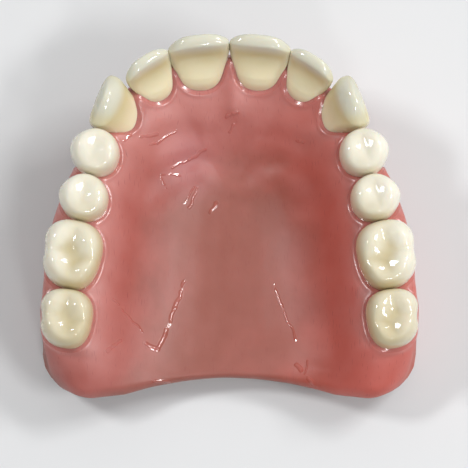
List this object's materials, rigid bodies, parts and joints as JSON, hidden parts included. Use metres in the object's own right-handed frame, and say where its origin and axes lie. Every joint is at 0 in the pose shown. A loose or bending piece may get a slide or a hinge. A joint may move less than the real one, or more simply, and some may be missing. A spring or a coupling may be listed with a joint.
{
  "type": "full upper denture",
  "caption": "Horseshoe row of separate acrylic teeth set in one pink acrylic base, with a palate plate and a rolled flange that fits over the upper jaw ridge.",
  "frame": {"origin": "on the resting plane of the flange's edge, under the centre of the denture's bounding box", "axes": "+X to the wearer's left, +Y towards the front teeth, +Z from the flange's edge to the biting surfaces"},
  "size_m": [0.0582, 0.0538, 0.0214],
  "materials": {
    "gum_acrylic": "high polish, wet look, with fine red fibres in the resin",
    "front_tooth_acrylic": "polished, warm beige body with a translucent biting edge",
    "back_tooth_acrylic": "polished, creamy white"
  },
  "bodies": {
    "root": {"denture_base": "gum_acrylic", "left_central_incisor": "front_tooth_acrylic", "left_lateral_incisor": "front_tooth_acrylic", "left_canine": "front_tooth_acrylic", "left_first_premolar": "back_tooth_acrylic", "left_second_premolar": "back_tooth_acrylic", "left_first_molar": "back_tooth_acrylic", "left_second_molar": "back_tooth_acrylic", "right_central_incisor": "front_tooth_acrylic", "right_lateral_incisor": "front_tooth_acrylic", "right_canine": "front_tooth_acrylic", "right_first_premolar": "back_tooth_acrylic", "right_second_premolar": "back_tooth_acrylic", "right_first_molar": "back_tooth_acrylic", "right_second_molar": "back_tooth_acrylic"}
  },
  "joints": []
}
